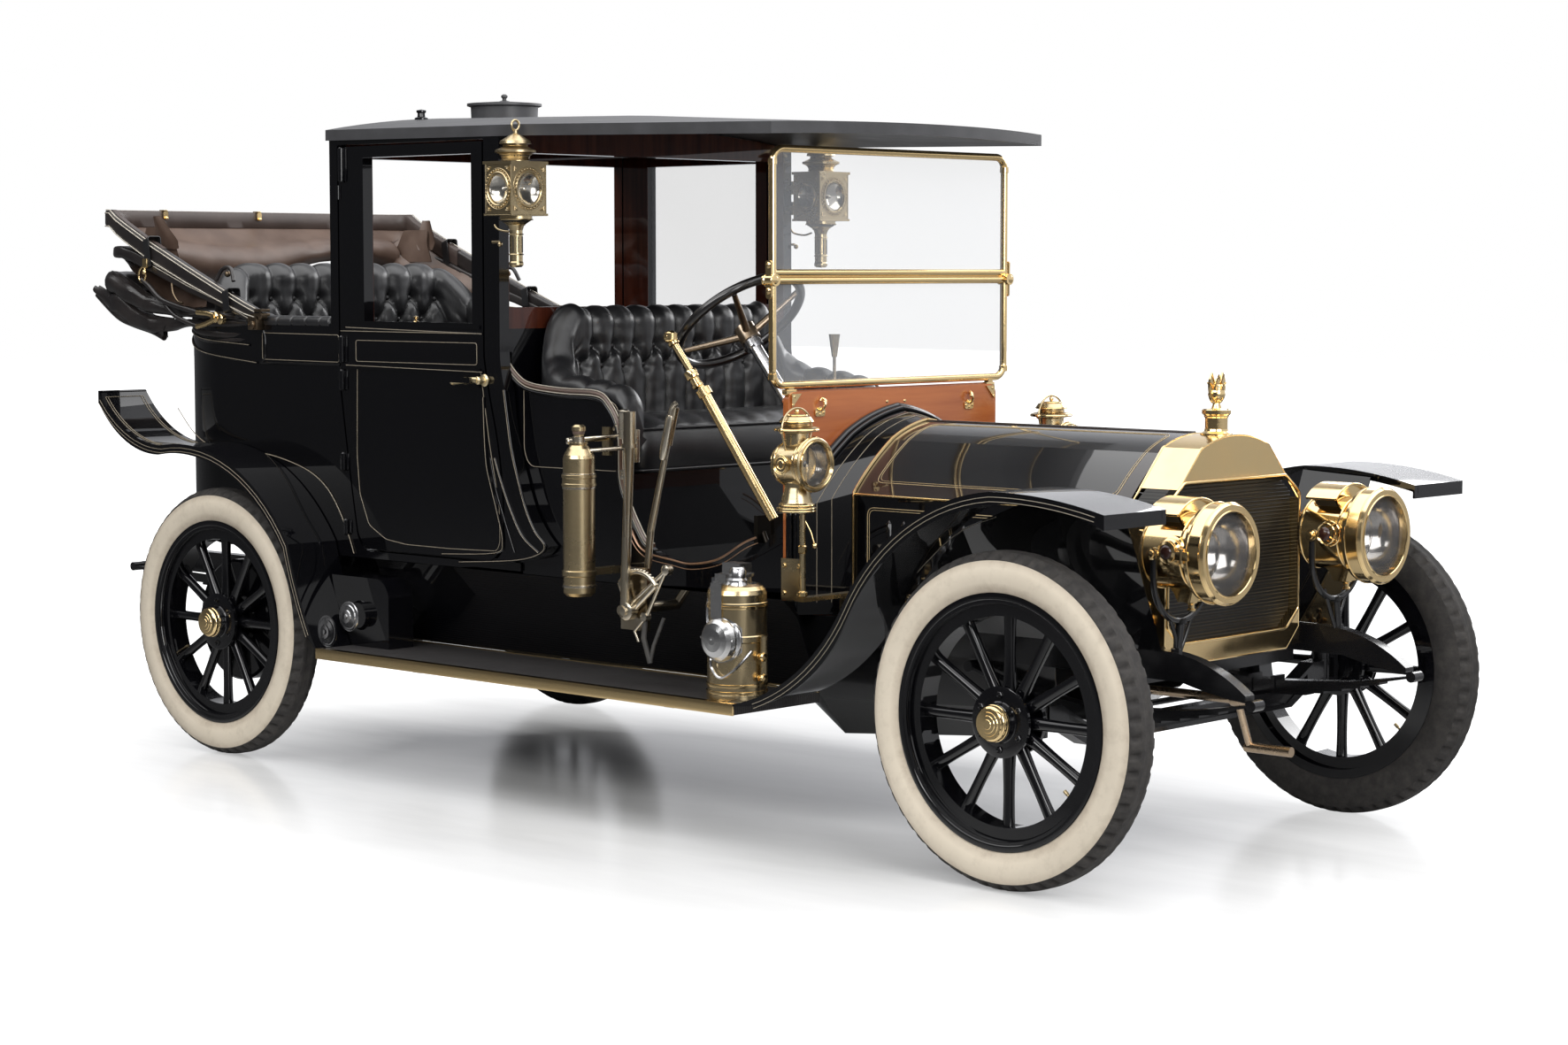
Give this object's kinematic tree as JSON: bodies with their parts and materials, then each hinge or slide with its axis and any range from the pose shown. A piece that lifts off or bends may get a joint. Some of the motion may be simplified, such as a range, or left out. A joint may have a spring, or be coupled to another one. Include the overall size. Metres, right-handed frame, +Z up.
{
  "type": "limousine of the brass era with a folding rear hood",
  "caption": "Open-drive brass-era motor car: brass radiator and lamps, black coachwork with a closed rear cabin, folded leather rear hood and spoked wheels.",
  "frame": {"origin": "on the ground below the middle of the car", "axes": "+X forward, +Y to the left of the car, +Z up"},
  "size_m": [4.733, 1.736, 2.1759],
  "materials": {
    "frame_paint": "satin black",
    "engine_iron": "bare",
    "exhaust_iron": "dull",
    "polished_brass": "polished",
    "core_black": "matt",
    "black_lacquer": "deep gloss with fine pinstripes",
    "mahogany": "varnished",
    "clear_glass": "clear",
    "black_leather": "buttoned",
    "roof_black": "satin",
    "hood_leather": "soft, brown inside and black outside",
    "aged_brass": "aged",
    "board_rubber": "ribbed mat with a brass edge",
    "polished_steel": "polished",
    "rim_black": "black rim, bronze spokes",
    "wheel_black": "gloss",
    "tyre": "cream sidewall"
  },
  "bodies": {
    "car": {"chassis_frame": "frame_paint", "leaf_springs": "frame_paint", "front_axle": "frame_paint", "rear_axle": "frame_paint", "engine_block": "engine_iron", "undertray": "frame_paint", "exhaust": "exhaust_iron", "radiator_shell": "polished_brass", "radiator_core": "core_black", "scuttle": "black_lacquer", "dash_board": "mahogany", "windscreen_frame": "polished_brass", "windscreen_glass": "clear_glass", "body_front": "black_lacquer", "front_seat": "black_leather", "cab_body": "black_lacquer", "roof": "roof_black", "ventilator": "roof_black", "rear_seat": "black_leather", "folded_hood": "hood_leather", "hood_irons": "aged_brass", "front_fenders": "black_lacquer", "rear_fenders": "black_lacquer", "running_boards": "board_rubber", "splash_aprons": "black_lacquer", "tool_boxes": "black_lacquer", "headlamps": "polished_brass", "lamp_brackets": "frame_paint", "coach_lamps": "aged_brass", "dash_lamps": "aged_brass", "lamp_glass": "clear_glass", "gas_generator": "aged_brass", "brass_cylinder": "aged_brass", "driver_controls": "aged_brass", "steering_column": "polished_steel", "crank_handle": "polished_steel"},
    "door_right": {"door_right": "black_lacquer"},
    "door_left": {"door_left": "black_lacquer", "door_glass_left": "clear_glass"},
    "bonnet_right": {"bonnet_top_right": "black_lacquer"},
    "bonnet_left": {"bonnet_top_left": "black_lacquer"},
    "bonnet_flap_right": {"bonnet_side_right": "black_lacquer"},
    "bonnet_flap_left": {"bonnet_side_left": "black_lacquer"},
    "knuckle_right": {"knuckle_right": "frame_paint"},
    "knuckle_left": {"knuckle_left": "frame_paint"},
    "tie_rod": {"tie_rod": "frame_paint"},
    "steering_wheel": {"steering_wheel": "rim_black"},
    "wheel_front_right": {"wheel_front_right": "wheel_black", "tyre_front_right": "tyre"},
    "wheel_rear_right": {"wheel_rear_right": "wheel_black", "tyre_rear_right": "tyre"},
    "wheel_front_left": {"wheel_front_left": "wheel_black", "tyre_front_left": "tyre"},
    "wheel_rear_left": {"wheel_rear_left": "wheel_black", "tyre_rear_left": "tyre"}
  },
  "joints": [
    {"name": "steer_right", "type": "hinge", "parent": "car", "child": "knuckle_right", "pos_m": [1.8685, -0.665, 0.44], "axis": [0, 0, 1], "range_deg": [-30, 30]},
    {"name": "steer_left", "type": "hinge", "parent": "car", "child": "knuckle_left", "pos_m": [1.8685, 0.665, 0.44], "axis": [0, 0, 1], "range_deg": [-30, 30]},
    {"name": "hand_wheel_turn", "type": "hinge", "parent": "car", "child": "steering_wheel", "pos_m": [0.4975, -0.35, 1.443], "axis": [-0.6428, 0, 0.766], "range_deg": [-240, 240]},
    {"name": "tie_rod_slide", "type": "slide", "parent": "car", "child": "tie_rod", "axis": [0, 1, 0], "range_m": [-0.08, 0.08]},
    {"name": "wheel_front_right_roll", "type": "hinge", "parent": "knuckle_right", "child": "wheel_front_right", "pos_m": [1.8685, -0.782, 0.44], "axis": [0, 1, 0], "continuous": true},
    {"name": "wheel_rear_right_roll", "type": "hinge", "parent": "car", "child": "wheel_rear_right", "pos_m": [-1.4335, -0.782, 0.44], "axis": [0, 1, 0], "continuous": true},
    {"name": "wheel_front_left_roll", "type": "hinge", "parent": "knuckle_left", "child": "wheel_front_left", "pos_m": [1.8685, 0.782, 0.44], "axis": [0, 1, 0], "continuous": true},
    {"name": "wheel_rear_left_roll", "type": "hinge", "parent": "car", "child": "wheel_rear_left", "pos_m": [-1.4335, 0.782, 0.44], "axis": [0, 1, 0], "continuous": true},
    {"name": "door_right_hinge", "type": "hinge", "parent": "car", "child": "door_right", "pos_m": [-0.9875, -0.655, 1.345], "axis": [0, 0, -1], "range_deg": [0, 85]},
    {"name": "door_left_hinge", "type": "hinge", "parent": "car", "child": "door_left", "pos_m": [-0.9875, 0.655, 1.345], "axis": [0, 0, 1], "range_deg": [0, 85]},
    {"name": "bonnet_right_hinge", "type": "hinge", "parent": "car", "child": "bonnet_right", "pos_m": [1.407, 0, 1.15], "axis": [-1, 0, 0], "range_deg": [0, 50]},
    {"name": "bonnet_flap_right_hinge", "type": "hinge", "parent": "bonnet_right", "child": "bonnet_flap_right", "pos_m": [1.407, -0.32, 0.955], "axis": [-1, 0, 0], "range_deg": [-50, 0]},
    {"name": "bonnet_left_hinge", "type": "hinge", "parent": "car", "child": "bonnet_left", "pos_m": [1.407, 0, 1.15], "axis": [1, 0, 0], "range_deg": [0, 50]},
    {"name": "bonnet_flap_left_hinge", "type": "hinge", "parent": "bonnet_left", "child": "bonnet_flap_left", "pos_m": [1.407, 0.32, 0.955], "axis": [1, 0, 0], "range_deg": [-50, 0]}
  ],
  "couplings": [
    {"joint": "steer_left", "follows": "steer_right", "ratio": 1},
    {"joint": "hand_wheel_turn", "follows": "steer_right", "ratio": 8},
    {"joint": "tie_rod_slide", "follows": "steer_right", "m_per_rad": -0.15},
    {"joint": "bonnet_flap_right_hinge", "follows": "bonnet_right_hinge", "ratio": -1},
    {"joint": "bonnet_flap_left_hinge", "follows": "bonnet_left_hinge", "ratio": -1}
  ]
}
